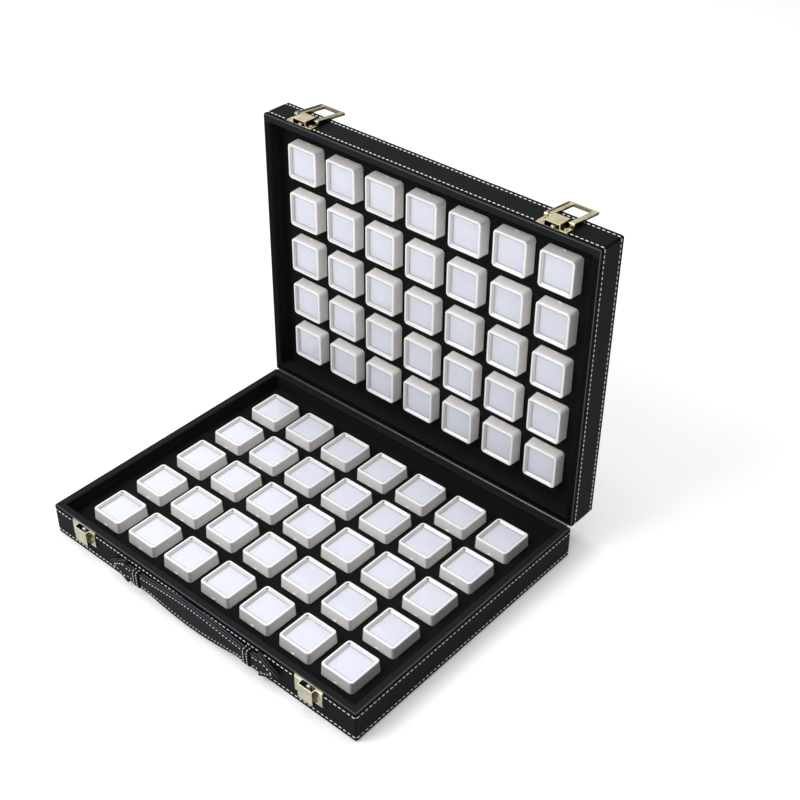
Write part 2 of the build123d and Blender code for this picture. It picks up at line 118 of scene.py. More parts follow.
# %% A material with one shader
class Coat:
    def __init__(self, name):
        self.material = bpy.data.materials.new(name)
        self.material.use_nodes = True
        self.tree = self.material.node_tree
        self.tree.nodes.clear()
        output = self.tree.nodes.new("ShaderNodeOutputMaterial")
        self.shader = self.tree.nodes.new("ShaderNodeBsdfPrincipled")
        self.tree.links.new(self.shader.outputs[0], output.inputs[0])
        coordinates = self.node("ShaderNodeTexCoord")
        self.place, self.normal = coordinates["Object"], coordinates["Normal"]

    def node(self, kind, settings=None, inputs=None):
        """Any node: its settings first, then values or links; gives its outputs by name."""
        made = self.tree.nodes.new(kind)
        for name, value in (settings or {}).items():
            setattr(made, name, value)
        for name, value in (inputs or {}).items():
            if isinstance(value, Signal):
                self.tree.links.new(value.socket, made.inputs[name])
            else:
                made.inputs[name].default_value = value
        return {out.name: Signal(self, out) for out in made.outputs}

    def maths(self, operation, first, second=None, clamp=False):
        values = {0: first} if second is None else {0: first, 1: second}
        settings = {"operation": operation, "use_clamp": clamp}
        return self.node("ShaderNodeMath", settings, values)["Value"]

    def tint(self, factor, dark, light):
        """A colour between two, by a factor; over 1 it goes on past the second."""
        made = self.tree.nodes.new("ShaderNodeMix")
        made.data_type = "RGBA"
        made.clamp_factor = False
        self.tree.links.new(factor.socket, made.inputs[0])
        made.inputs[6].default_value = (*dark, 1)
        made.inputs[7].default_value = (*light, 1)
        return Signal(self, made.outputs[2])

    def set(self, **values):
        """Shader sockets by name, with an underscore for a space."""
        for name, value in values.items():
            socket = self.shader.inputs[name.replace("_", " ")]
            if isinstance(value, Signal):
                self.tree.links.new(value.socket, socket)
            else:
                socket.default_value = value
        return self

    def relief(self, height, depth, strength):
        """Bumps of a height signal, where 1 stands for depth in metres."""
        bump = self.node("ShaderNodeBump", None,
                         {"Height": height, "Distance": depth, "Strength": strength})["Normal"]
        return self.set(Normal=bump)


# %% What a finish can measure
class Finish(Coat):
    def dot(self, vector, direction):
        return self.node("ShaderNodeVectorMath", {"operation": "DOT_PRODUCT"},
                         {0: vector, 1: direction})["Value"]

    def along(self, direction, offset):
        """How far a point lies along a direction, from an offset."""
        return self.dot(self.place, direction) + offset

    def from_nearest(self, direction, offset, pitch):
        """Signed distance along a direction from the nearest of evenly spaced places."""
        place = self.along(direction, offset)
        return place - self.maths("FLOOR", place / pitch + 0.5) * pitch

    def facing(self, direction):
        """1 where the surface faces a direction, -1 where it faces away."""
        return self.dot(self.normal, direction)

    def stretched(self, scale):
        """The place, stretched for a grain that runs one way."""
        return self.node("ShaderNodeVectorMath", {"operation": "MULTIPLY"},
                         {0: self.place, 1: scale})["Vector"]

    def noise(self, scale, detail, place=None):
        return self.node("ShaderNodeTexNoise", None,
                         {"Vector": place or self.place, "Scale": scale, "Detail": detail})["Fac"]

    def cells(self, scale, feature="DISTANCE_TO_EDGE"):
        return self.node("ShaderNodeTexVoronoi", {"feature": feature},
                         {"Vector": self.place, "Scale": scale})["Distance"]


# %% [markdown]
# ## Leatherette
# The covering is black with a cold, slate sheen and a fine pebbled grain. The
# grain could be carved into the mesh, but it is a tenth of a millimetre deep,
# and at that size a bump in the shader looks the same. The sewing pulls the
# leather down in a soft groove, so the formula also knows how far a point is
# from each sewn line. Each half measures its own height, from its outer face
# to its rim, and that is why there is one leather per half.

# %% Where the sewing runs
SEAM_BELOW_RIM = 3.75 * MM
SEAM_FROM_FACE = 4.0 * MM
SEAM_FROM_EDGE = 4.0 * MM
GROOVE = 1.2 * MM
FOLD_LINE = 0.75 * MM
SEAM_SHOULDER = 0.9 * MM
FACE_ONLY = 1.0 * MM
LINING_FLOOR = 3.0 * MM
LINING_MARGIN = 6.2 * MM
LATCH_SIDE_MARGIN = 7.0 * MM
LAYER_LINES = (1.5 * MM, 3.45 * MM)
height_directions = {half: half_places[half].to_3x3() @ Vector((0, 0, 1)) for half in HALVES}
depth_directions = {half: half_places[half].to_3x3() @ Vector((0, 1, 0)) for half in HALVES}
face_points = {half: half_places[half].to_translation() for half in HALVES}
print("rim seam at", (RIM - SEAM_BELOW_RIM) / MM, "mm, face seam at", SEAM_FROM_FACE / MM, "mm")


# %% The pebbled grain
def leather_grain(finish):
    """Pebbles with fine creases between them, from 0 to 1."""
    pebbles = finish.cells(1150.0).above(0.1, 0.22)
    wrinkles = finish.noise(420.0, 4.0)
    return pebbles * 0.65 + wrinkles * 0.5


# %% Leather for one half
def leather_for(half):
    finish = Finish(f"leather_{half}")
    up, across, face = height_directions[half], depth_directions[half], face_points[half]
    height = finish.along(up, -up.dot(face))
    side = abs(finish.along((1, 0, 0), 0.0))
    front_place = finish.along(across, -across.dot(face))
    front = abs(front_place)

    def near(distance, place, width):
        return 1 - abs(distance - place).above(width / 2, width)

    walls = near(height, RIM - SEAM_BELOW_RIM, GROOVE).larger(near(height, SEAM_FROM_FACE, GROOVE))
    edges = near(side, HALF_LENGTH - SEAM_FROM_EDGE, GROOVE).larger(
        near(front, HALF_DEPTH - SEAM_FROM_EDGE, GROOVE))
    sewn = walls.larger(edges * (1 - height.above(FACE_ONLY, 0.4 * MM)))
    margin = (HALF_LENGTH - side).smaller(HALF_DEPTH - front)
    on_rim = height.above(RIM - 0.5 * MM, 0.3 * MM)
    # The fold line at the rim's outer edge is painted as a bright line: a painted highlight,
    # besides its bump.
    fold = on_rim * near(margin, FOLD_LINE, 0.6 * MM)
    # The band between the rim seam and the rim is painted darker: painted shade where the wall
    # turns over to the rim.
    shaded_shoulder = height.above(RIM - SEAM_BELOW_RIM + SEAM_SHOULDER, 0.5 * MM) * (1 - fold)
    grain = leather_grain(finish)
    clouds = finish.noise(22.0, 2.0)
    latch_side = (front_place * -1).above(HALF_DEPTH - LATCH_SIDE_MARGIN, 0.5 * MM)
    # The rim top is given a painted sheen: all round on the base, and on the lid only along the
    # latch side, which is its top when open.
    painted_rim_sheen = 1.9 if half == "base" else 0.1 + latch_side * 1.9
    inside_rim = margin.above(LINING_MARGIN, 0.8 * MM)
    lining = inside_rim * height.above(LINING_FLOOR, 0.2 * MM)
    rim_top = on_rim * (1 - inside_rim) * (1 - fold)
    # The sewn grooves are painted darker as shade, besides being pressed in by the bump.
    shade = (0.35 + grain * 0.3 + clouds * 0.35 - sewn * 0.3 - shaded_shoulder * 0.35
             + rim_top * painted_rim_sheen + lining * 1.3 + fold * 17.0)
    finish.set(Base_Color=finish.tint(shade, (0.0013, 0.0014, 0.0016), (0.0064, 0.0070, 0.0077)),
               Roughness=0.52 + clouds * 0.12 - grain * 0.06 + shaded_shoulder * 0.14,
               Specular_IOR_Level=0.038)
    return finish.relief(grain * 0.12 - sewn + fold * 0.6, 0.35 * MM, 0.8)


# %% Leather for the strap and the loops
def strip_leather(name, layers):
    """Thinner leather for strap and loops; light lines where cut layers show, by their depth."""
    finish = Finish(name)
    grain = leather_grain(finish)
    clouds = finish.noise(60.0, 2.0)
    shade = grain * 0.4 + clouds * 0.35
    depth = finish.along((0, -1, 0), -HALF_DEPTH)
    for place in layers:
        shade = shade + 6.0 * (1 - abs(depth - place).above(0.32 * MM, 0.2 * MM))
    finish.set(Base_Color=finish.tint(shade, (0.0030, 0.0033, 0.0040), (0.0150, 0.0162, 0.0186)),
               Roughness=0.52 + clouds * 0.14, Specular_IOR_Level=0.06)
    return finish.relief(grain * 0.15, 0.3 * MM, 0.6)


leathers = {half: leather_for(half) for half in HALVES}
leathers["strap"] = strip_leather("leather_strap", LAYER_LINES)
leathers["loop"] = strip_leather("leather_loop", ())
print("leathers", sorted(leathers))

# %% [markdown]
# ## The grid of gem boxes
# The boxes stand in an even grid, so a pane's size and the middles of its
# neighbours give the place of every box.

# %% Middles of the gem boxes
COLUMNS, ROWS = 7, 5
sample_low, sample_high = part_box("base_sample_window")
PANE = sample_high.x - sample_low.x
SAMPLE = (sample_low + sample_high) / 2


def box_places():
    """Middles of the gem boxes in the base, read from the panes of its fixed boxes."""
    low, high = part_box("base_box_windows")
    reach_x = (high.x - low.x) / 2 - PANE / 2
    first_y, last_y = low.y + PANE / 2, high.y - PANE / 2
    halfway = COLUMNS // 2
    for column in range(COLUMNS):
        for row in range(ROWS):
            yield Vector((reach_x * (column - halfway) / halfway,
                          first_y + (last_y - first_y) * row / (ROWS - 1), 0))


middles = list(box_places())
COLUMN_PITCH = middles[ROWS].x - middles[0].x
ROW_PITCH = middles[1].y - middles[0].y
BOX_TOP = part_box("base_sample_lid")[1].z
print("boxes", len(middles), "pitch", COLUMN_PITCH / MM, "by", ROW_PITCH / MM, "mm")

# %% [markdown]
# ## Pad, gem boxes and boards
# The pads are foam under a flocked sheet: a very dark, dull black with tiny
# fibres. The gem boxes are glossy white plastic with a clear pane over white
# foam. Light and shade are painted into the white plastic: its sides are
# painted lighter, and its mouths and upright corners painted darker as shade.
# That could be painted on box by box, but the formula measures from the
# nearest place in the grid, so one finish does for all.
# The boards and the black foam hardly show, but they are finished too.

# %% Flocked sheet
def flock_finish():
    finish = Finish("flock")
    fibres = finish.noise(2600.0, 2.0)
    clouds = finish.noise(35.0, 3.0)
    finish.set(Base_Color=finish.tint(fibres * 0.6 + clouds * 0.4, (0.0030, 0.0030, 0.0033),
                                      (0.0095, 0.0095, 0.0105)),
               Roughness=0.92 + fibres * 0.08, Specular_IOR_Level=0.06,
               Sheen_Weight=0.015, Sheen_Roughness=0.6)
    return finish.relief(fibres, 0.12 * MM, 0.6)


# %% White plastic
MOUTH_AT_TOP = 13.05 * MM
CORNER_SPOT = 11.9 * MM


def plastic_finish(half):
    """Thin white plastic with painted light: its sides painted lighter, and its mouths and the
    base boxes' upright corners painted darker as shade.
    """
    finish = Finish(f"box_plastic_{half}")
    clouds = finish.noise(90.0, 3.0)
    ripple = finish.noise(28.0, 2.0)
    # Faces that look sideways are painted lighter: painted light.
    sides = 1 - abs(finish.facing(height_directions[half])).above(0.5, 0.5)
    shade = clouds * 0.6 + sides * 1.1
    up, across, face = height_directions[half], depth_directions[half], face_points[half]
    height = finish.along(up, -up.dot(face))
    x = finish.from_nearest((1, 0, 0), -middles[0].x, COLUMN_PITCH)
    y = finish.from_nearest(across, -across.dot(face) - middles[0].y, ROW_PITCH)
    # The mouth round each pane, below the top edge, is painted darker: painted shade.
    mouth = (1 - abs(x).larger(abs(y)).above(MOUTH_AT_TOP, 0.15 * MM)) * (
        1 - height.above(BOX_TOP - 0.12 * MM, 0.1 * MM))
    shade = shade - mouth * 3.0
    if half == "base":
        # The upright corners of the base boxes are painted darker: painted shade.
        corner = abs(finish.facing((1, 0, 0)) * finish.facing((0, 1, 0))) * 2
        shade = shade - corner.above(0.75, 0.4) * 4.0 * (1 - mouth)
        # A small dark spot is made at the far corner of each base box's mouth.
        from_spot = abs(x + CORNER_SPOT).larger(abs(y - CORNER_SPOT))
        mark = 1 - from_spot.above(0.8 * MM, 0.6 * MM)
        shade = shade - mark * mouth * 6.0
    finish.set(Base_Color=finish.tint(shade, (0.83, 0.807, 0.792), (0.90, 0.872, 0.855)),
               Roughness=0.14 + clouds * 0.10, Specular_IOR_Level=0.5,
               Coat_Weight=0.3, Coat_Roughness=0.1)
    return finish.relief(ripple, 0.05 * MM, 0.25)


# %% Foam and clear pane of the boxes
def box_foam_finish():
    finish = Finish("box_foam")
    pores = finish.cells(1700.0, "F1")
    clouds = finish.noise(50.0, 2.0)
    finish.set(Base_Color=finish.tint(pores * 0.5 + clouds * 0.5, (0.68, 0.70, 0.78),
                                      (0.77, 0.79, 0.865)),
               Roughness=0.85 + pores * 0.15)
    return finish.relief(pores, 0.15 * MM, 0.5)


def pane_finish():
    finish = Finish("box_pane")
    haze = finish.noise(140.0, 3.0)
    finish.set(Base_Color=finish.tint(haze, (0.89, 0.90, 0.98), (0.95, 0.96, 1.0)),
               Roughness=0.03 + haze * 0.08, IOR=1.49, Alpha=0.30, Coat_Weight=0.4,
               Coat_Roughness=0.04)
    return finish


# %% Boards and black foam
def board_finish():
    finish = Finish("board")
    grain = finish.noise(60.0, 5.0, finish.stretched((0.15, 1.0, 1.0)))
    finish.set(Base_Color=finish.tint(grain, (0.23, 0.15, 0.08), (0.42, 0.30, 0.18)),
               Roughness=0.7 + grain * 0.2)
    return finish.relief(grain, 0.1 * MM, 0.5)


def pad_foam_finish():
    finish = Finish("pad_foam")
    pores = finish.cells(1300.0, "F1")
    finish.set(Base_Color=finish.tint(pores, (0.006, 0.006, 0.006), (0.02, 0.02, 0.02)),
               Roughness=0.8 + pores * 0.2)
    return finish.relief(pores, 0.2 * MM, 0.6)


flock = flock_finish()
box_plastics = {half: plastic_finish(half) for half in HALVES}
box_foam = box_foam_finish()
box_pane = pane_finish()
board_wood = board_finish()
pad_foam = pad_foam_finish()
print("finishes", len(bpy.data.materials))

# %% [markdown]
# ## Metals and thread
# The latches have a pale gold plating that is polished but not perfect: fine
# scratches along the metal and faint clouds. A picture of scratches would
# need the metal laid out flat. Noise that is stretched one way needs nothing
# but the place of a point. The hinge is enamelled black and its pin and
# screws are plain steel. The thread is a cotton off-white.

# %% Metal finishes
LATCH_PLACES = [sum(corner.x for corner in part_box(f"keeper_plate_{side}")) / 2
                for side in SIDES]
# One plating in two copies: the lid's is painted darker and yellower, a painted reflection of warm
# surroundings.
GOLD = {"base": ((0.21, 0.185, 0.115), (0.66, 0.63, 0.53)),
        "lid": ((0.15, 0.125, 0.060), (0.60, 0.535, 0.36))}


def gold_finish(half):
    """Thin brass plating with painted light: the sides painted darker brown as a
    painted reflection, and the edges that look to the rim painted brighter as a
    painted highlight."""
    finish = Finish(f"pale_gold_{half}")
    scratches = finish.noise(900.0, 2.0, finish.stretched((1.0, 1.0, 0.06)))
    clouds = finish.noise(110.0, 2.0)
    # Faces that look along X are painted darker brown: a painted reflection.
    sides = abs(finish.facing((1, 0, 0))).above(0.75, 0.4)
    # Faces that look to the rim are painted brighter: a painted highlight.
    edges = finish.facing(height_directions[half]).above(0.6, 0.4)
    shade = clouds * 0.75 + scratches * 0.2 - sides * 0.62 + edges * 0.9
    finish.set(Base_Color=finish.tint(shade, *GOLD[half]), Metallic=1.0,
               Roughness=0.10 + scratches * 0.10 + clouds * 0.08 + edges * 0.3)
    return finish.relief(scratches * 0.2 + clouds, 0.04 * MM, 0.25)


def rivet_finish():
    """Plated heads: each plate's middle one is lighter, the outer ones darker."""
    finish = Finish("rivet")
    clouds = finish.noise(700.0, 2.0)
    place = finish.along((1, 0, 0), 0.0)
    from_middle = abs(place - LATCH_PLACES[0]).smaller(abs(place - LATCH_PLACES[1]))
    # Rivets more than 5 mm from a plate's middle are made darker.
    outer_darker = from_middle.above(5.0 * MM, 1.0 * MM)
    finish.set(Base_Color=finish.tint(clouds - outer_darker * 1.1, (0.58, 0.57, 0.50),
                                      (0.86, 0.85, 0.78)),
               Metallic=0.85, Roughness=0.34 + clouds * 0.12)
    return finish.relief(clouds, 0.04 * MM, 0.4)


# %% Hinge and thread finishes
def enamel_finish():
    finish = Finish("black_enamel")
    ripple = finish.noise(500.0, 3.0)
    finish.set(Base_Color=finish.tint(ripple, (0.010, 0.010, 0.011), (0.024, 0.024, 0.026)),
               Roughness=0.28 + ripple * 0.12, Coat_Weight=0.4, Coat_Roughness=0.15)
    return finish.relief(ripple, 0.02 * MM, 0.4)


def steel_finish():
    finish = Finish("steel")
    scratches = finish.noise(1500.0, 3.0, finish.stretched((0.05, 1.0, 1.0)))
    finish.set(Base_Color=finish.tint(scratches, (0.42, 0.42, 0.43), (0.66, 0.66, 0.67)),
               Metallic=1.0, Roughness=0.2 + scratches * 0.18)
    return finish.relief(scratches, 0.01 * MM, 0.5)


def thread_finish():
    finish = Finish("thread")
    twist = finish.noise(2400.0, 2.0)
    finish.set(Base_Color=finish.tint(twist, (0.70, 0.69, 0.67), (0.92, 0.91, 0.89)),
               Roughness=0.7 + twist * 0.2, Sheen_Weight=0.15)
    return finish.relief(twist, 0.08 * MM, 0.7)


pale_golds = {half: gold_finish(half) for half in HALVES}
rivet_gold = rivet_finish()
black_enamel = enamel_finish()
steel = steel_finish()
thread = thread_finish()
print("finishes", len(bpy.data.materials))

# %% [markdown]
# A node's own material slot is simply given its new finish. Most of these
# shapes are right as they are. Where one needs a rounder edge, a wider mouth,
# padding or sewing, a new piece takes its place further on.

# %% Dress the nodes
def dress(name, finish):
    mesh = nodes[name].data
    mesh.materials.clear()
    mesh.materials.append(finish.material)


for half in HALVES:
    for board in ("front_board", "back_board", "left_board", "right_board", "panel"):
        dress(f"{half}_{board}", board_wood)
    dress(f"{half}_side_leather", leathers[half])
    dress(f"{half}_face_leather", leathers[half])
    dress(f"{half}_foam", pad_foam)
    dress(f"{half}_pad_cover", flock)
    for piece in ("box_cups", "box_lids", "sample_cup", "sample_lid"):
        dress(f"{half}_{piece}", box_plastics[half])
    for piece in ("box_cushions", "sample_cushion"):
        dress(f"{half}_{piece}", box_foam)
    for piece in ("box_windows", "sample_window"):
        dress(f"{half}_{piece}", box_pane)
for side in SIDES:
    for piece in ("keeper_plate", "keeper_bridge"):
        dress(f"{piece}_{side}", pale_golds["base"])
    for piece in ("latch_plate", "latch_bridge", "hasp"):
        dress(f"{piece}_{side}", pale_golds["lid"])
    dress(f"hasp_pin_{side}", steel)
    dress(f"handle_loop_{side}", leathers["loop"])
for name in ("keeper_rivets", "latch_rivets"):
    dress(name, rivet_gold)
for name in ("hinge_pin", "hinge_base_screws", "hinge_lid_screws"):
    dress(name, steel)
for name in ("hinge_base_leaf", "hinge_lid_leaf"):
    dress(name, black_enamel)
dress("handle_strap", leathers["strap"])
print("dressed", len(nodes))

# %% [markdown]
# ## Tools of the workshop
# An operator works on all that is selected, so each step first deselects all.
# A finished piece has its place in its mesh and its object at the origin.

# %% Selecting and finishing
def select_only(*pieces):
    bpy.ops.object.select_all(action="DESELECT")
    for piece in pieces:
        piece.select_set(True)
    bpy.context.view_layer.objects.active = pieces[0]


def bake_place(piece):
    select_only(piece)
    bpy.ops.object.transform_apply(location=True, rotation=True, scale=True)
    return piece


def apply_modifiers(piece):
    select_only(piece)
    for modifier in list(piece.modifiers):
        bpy.ops.object.modifier_apply(modifier=modifier.name)
    return piece


def smooth(piece, angle):
    select_only(piece)
    bpy.ops.object.shade_smooth_by_angle(angle=radians(angle))
    return piece


def in_edit_mode(piece, *steps):
    """Runs edit-mode steps on a piece with all of it selected."""
    select_only(piece)
    bpy.ops.object.mode_set(mode="EDIT")
    bpy.ops.mesh.select_all(action="SELECT")
    for step in steps:
        step()
    bpy.ops.object.mode_set(mode="OBJECT")
    return piece


# %% [markdown]
# ## Rounded metal and cut edges
# Pressed sheet has small rounded edges, and they catch the bright lines that
# make metal look like metal. The parts could be modelled anew, but a copy of
# the solid stays exactly where the solid is. Its loose triangles are merged,
# its flat faces joined, and its edges bevelled.

# %% A copy with softened edges
def softened(node, width, finish, flatness=2.0):
    """A copy of a node to stand for it, with bevelled edges if a width is given."""
    piece = nodes[node].copy()
    piece.data = nodes[node].data.copy()
    piece.name = f"{node}_finished"
    piece.parent = None
    for key in list(piece.keys()):
        del piece[key]
    bpy.context.scene.collection.objects.link(piece)
    in_edit_mode(piece,
                 lambda: bpy.ops.mesh.remove_doubles(threshold=0.002 * MM),
                 lambda: bpy.ops.mesh.dissolve_limited(angle_limit=radians(flatness)))
    if width:
        bevel = piece.modifiers.new("edge", "BEVEL")
        bevel.width = width
        bevel.segments = 2
        bevel.limit_method = "ANGLE"
        bevel.angle_limit = radians(30)
        bevel.use_clamp_overlap = True
        apply_modifiers(piece)
    piece.data.materials.clear()
    piece.data.materials.append(finish.material)
    smooth(piece, 40.0)
    weighted = piece.modifiers.new("normals", "WEIGHTED_NORMAL")
    weighted.keep_sharp = True
    return apply_modifiers(piece)


# %% Soften the metal parts
METAL_PARTS = (("keeper_plate", "base", 0.12 * MM), ("keeper_bridge", "base", 0.12 * MM),
               ("latch_plate", "lid", 0.12 * MM), ("latch_bridge", "lid", 0.15 * MM),
               ("hasp", "lid", 0.35 * MM))
for side in SIDES:
    for part, half, width in METAL_PARTS:
        body = f"hasp_{side}" if part == "hasp" else half
        piece = softened(f"{part}_{side}", width, pale_golds[half])
        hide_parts(f"{part}_{side}")
        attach(piece, body)
        print(piece.name, "faces", len(piece.data.polygons))

# %% [markdown]
# ## Flocked covers
# The cover sheet is cut out for every gem box, and its cut edges roll over a
# little. A displacement could round them, but a bevel of about a quarter of a
# millimetre follows every cut and leaves the flat sheet alone.

# %% Pad covers with rolled edges
COVER_EDGE = 0.28 * MM
for half in HALVES:
    cover = softened(f"{half}_pad_cover", COVER_EDGE, flock)
    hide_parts(f"{half}_pad_cover")
    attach(cover, half)
    print(cover.name, "faces", len(cover.data.polygons))

# %% [markdown]
# ## Frames of the gem boxes
# The frame round each pane slopes in from a narrow top edge. The solid has a
# steeper slope. The mouth could be cut anew with a boolean, but it is enough
# to push its top ring of points a little wider on a copy of the lids.

# %% Widen the mouths
MOUTH_REACH = 12.9 * MM
MOUTH_HALF = 12.2 * MM
MOUTH_WIDER = 0.8 * MM
TOP_RING = 0.05 * MM
for half, sample_body in (("base", "tray_box_lid"), ("lid", "lid_box_lid")):
    to_closed = half_places[half].inverted()
    for name, body in (("box_lids", half), ("sample_lid", sample_body)):
        lids = softened(f"{half}_{name}", 0.0, box_plastics[half], flatness=0.1)
        moved = 0
        for vertex in lids.data.vertices:
            place = to_closed @ vertex.co
            if abs(place.z - BOX_TOP) > TOP_RING:
                continue
            middle = min(middles, key=lambda m: (m.x - place.x) ** 2 + (m.y - place.y) ** 2)
            aside = Vector((place.x - middle.x, place.y - middle.y, 0))
            if max(abs(aside.x), abs(aside.y)) < MOUTH_REACH:
                place += aside * (MOUTH_WIDER / MOUTH_HALF)
                vertex.co = half_places[half] @ place
                moved += 1
        lids.data.update()
        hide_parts(f"{half}_{name}")
        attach(lids, body)
        print(lids.name, "faces", len(lids.data.polygons), "moved", moved)

# %% [markdown]
# ## Foam in the gem boxes
# Under each clear pane lies a small foam cushion that holds a gem up against
# it. A cloth simulation could puff it up, but so small a pad is firm: a block
# with soft edges and a gently crowned top. It is modelled once and copied
# into every box. The box's place comes from its solid.

# %% One foam cushion
CUSHION_INSETS = ((1.2, 0.0), (2.5, 0.12), (3.5, 0.08))
CUSHION_EDGE = 0.6 * MM


def make_cushion():
    """A cushion at the place of the one in the base's box that lifts out."""
    low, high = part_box("base_sample_cushion")
    size, middle = high - low, (high + low) / 2
    bpy.ops.object.select_all(action="DESELECT")
    bpy.ops.mesh.primitive_cube_add(size=1, location=middle, scale=size)
    made = bake_place(bpy.context.active_object)
    made.name = "cushion"
    select_only(made)
    for polygon in made.data.polygons:
        polygon.select = polygon.normal.z > 0.9
    bpy.ops.object.mode_set(mode="EDIT")
    bpy.ops.mesh.select_mode(type="FACE")
    for thickness, depth in CUSHION_INSETS:
        bpy.ops.mesh.inset(thickness=thickness * MM, depth=depth * MM)
    bpy.ops.object.mode_set(mode="OBJECT")
    bevel = made.modifiers.new("edge", "BEVEL")
    bevel.width, bevel.segments = CUSHION_EDGE, 2
    bevel.limit_method, bevel.angle_limit = "ANGLE", radians(50)
    made.data.materials.append(box_foam.material)
    return smooth(apply_modifiers(made), 60.0)


cushion = make_cushion()
print("cushion faces", len(cushion.data.polygons))

# %% A cushion in every box
for half, sample_body in (("base", "tray_box"), ("lid", "lid_box")):
    matrix = half_places[half]
    fixed, lifting = [], []
    for place in middles:
        shift = Vector((place.x - SAMPLE.x, place.y - SAMPLE.y, 0))
        copy = bpy.data.objects.new("cushion_copy", cushion.data.copy())
        copy.data.transform(matrix @ Matrix.Translation(shift))
        if matrix.determinant() < 0:
            copy.data.flip_normals()
        bpy.context.scene.collection.objects.link(copy)
        (lifting if shift.length < PANE / 2 else fixed).append(copy)
    select_only(*fixed)
    bpy.ops.object.join()
    for piece, name, body in ((bpy.context.active_object, "box_cushions", half),
                              (lifting[0], "sample_cushion", sample_body)):
        piece.name = f"{half}_{name}_soft"
        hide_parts(f"{half}_{name}")
        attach(piece, body)
        print(piece.name, "faces", len(piece.data.polygons))
bpy.data.objects.remove(cushion)

# %% [markdown]
# ## Sewing
# Every edge of the case is sewn with a thick off-white thread. A bump could
# draw it, but it stands proud of the leather and shows on the outline. So one
# stitch is modelled: a short eight-sided cord whose ends are drawn in and dip
# into the leather. The rows are copies of it, set out along a path.

# %% One stitch
STITCH_PITCH = 4.05 * MM
STITCH_LENGTH = 2.75 * MM
THREAD = 0.78 * MM
STRAIGHT_SHARE = 0.66


def make_stitch():
    """A stitch along X at the origin, rising towards Z."""
    dip = STITCH_LENGTH * (1 - STRAIGHT_SHARE) / 2
    bpy.ops.object.select_all(action="DESELECT")
    bpy.ops.mesh.primitive_cylinder_add(
        vertices=8, radius=THREAD / 2, depth=STITCH_LENGTH * STRAIGHT_SHARE,
        end_fill_type="NGON", rotation=(0, pi / 2, 0))
    made = bake_place(bpy.context.active_object)
    made.name = "stitch"
    for end in (-1, 1):
        select_only(made)
        for elements in (made.data.edges, made.data.vertices):
            elements.foreach_set("select", [False] * len(elements))
        for polygon in made.data.polygons:
            polygon.select = polygon.normal.x * end > 0.9
        bpy.ops.object.mode_set(mode="EDIT")
        bpy.ops.mesh.select_mode(type="FACE")
        bpy.ops.mesh.extrude_region_move(
            TRANSFORM_OT_translate={"value": (end * dip, 0, -THREAD * 0.30)})
        bpy.ops.transform.resize(value=(1, 0.6, 0.55))
        bpy.ops.object.mode_set(mode="OBJECT")
    return smooth(made, 80.0)


stitch = make_stitch()
stitch.data.materials.append(thread.material)
print("stitch", [round(v / MM, 2) for v in stitch.dimensions], "faces", len(stitch.data.polygons))

# %% [markdown]
# A row is a list of places, each with the way the thread runs and the way
# out of the leather. The copies are then joined to one piece per row.

# %% Set out a row of stitches
def sew(name, stops, body, size=(1.0, 1.0)):
    """Stitches at (place, along, outward) stops, joined and riding on a body.
    The size is a share of the case's stitch, in length and in thickness."""
    copies = []
    shrink = Matrix.Diagonal((size[0], size[1], size[1], 1))
    for place, along, outward in stops:
        along = along.normalized()
        outward = (outward - along * outward.dot(along)).normalized()
        turned = Matrix((along, outward.cross(along), outward)).transposed().to_4x4()
        copy = bpy.data.objects.new(name, stitch.data.copy())
        copy.data.transform(Matrix.Translation(place) @ turned @ shrink)
        bpy.context.scene.collection.objects.link(copy)
        copies.append(copy)
    select_only(*copies)
    bpy.ops.object.join()
    row = bpy.context.active_object
    row.name = name
    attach(row, body)
    return row


def side_rows(half_x, half_y, end_gap):
    """Point, direction and normal of stitches along the four sides of a rectangle.
    Each side has its own even row that runs nearly to the corners."""
    points = []
    for turn in range(4):
        half_run, offset = (half_y, half_x) if turn % 2 else (half_x, half_y)
        angle = turn * pi / 2
        way = Vector((cos(angle), sin(angle)))
        normal = Vector((sin(angle), -cos(angle)))
        reach = half_run - end_gap
        count = round(2 * reach / STITCH_PITCH)
        for n in range(count + 1):
            run = -reach + 2 * reach * n / count
            points.append((normal * offset + way * run, way, normal))
    return points


# %% Sew the walls and the outer faces
STITCH_SINK = 0.05 * MM
FACE_STITCH_SINK = 0.3 * MM
WALL_END_GAP = 2.2 * MM
CORNER = 1.8 * MM
PLATE_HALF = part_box("keeper_plate_left")[1].x - LATCH_PLACES[0]


def under_plate(point):
    """Whether a stitch on the front would lie under a latch plate."""
    return point.y < -HALF_DEPTH + CORNER and any(
        abs(point.x - place) < PLATE_HALF + STITCH_LENGTH / 2 for place in LATCH_PLACES)


def wall_stops(height, half, skip_plates):
    stops = []
    path = side_rows(HALF_LENGTH - STITCH_SINK, HALF_DEPTH - STITCH_SINK, WALL_END_GAP)
    matrix = half_places[half]
    for point, way, normal in path:
        if skip_plates and under_plate(point):
            continue
        place = matrix @ Vector((point.x, point.y, height))
        along = matrix.to_3x3() @ Vector((way.x, way.y, 0))
        outward = matrix.to_3x3() @ Vector((normal.x, normal.y, 0))
        stops.append((place, along, outward))
    return stops


def face_stops(half):
    """The outer face's seam: one even row along each side, meeting at the corners."""
    matrix = half_places[half]
    path = side_rows(HALF_LENGTH - SEAM_FROM_EDGE, HALF_DEPTH - SEAM_FROM_EDGE, STITCH_PITCH / 2)
    return [(matrix @ Vector((point.x, point.y, FACE_STITCH_SINK)),
             matrix.to_3x3() @ Vector((way.x, way.y, 0)),
             matrix.to_3x3() @ Vector((0, 0, -1))) for point, way, normal in path]


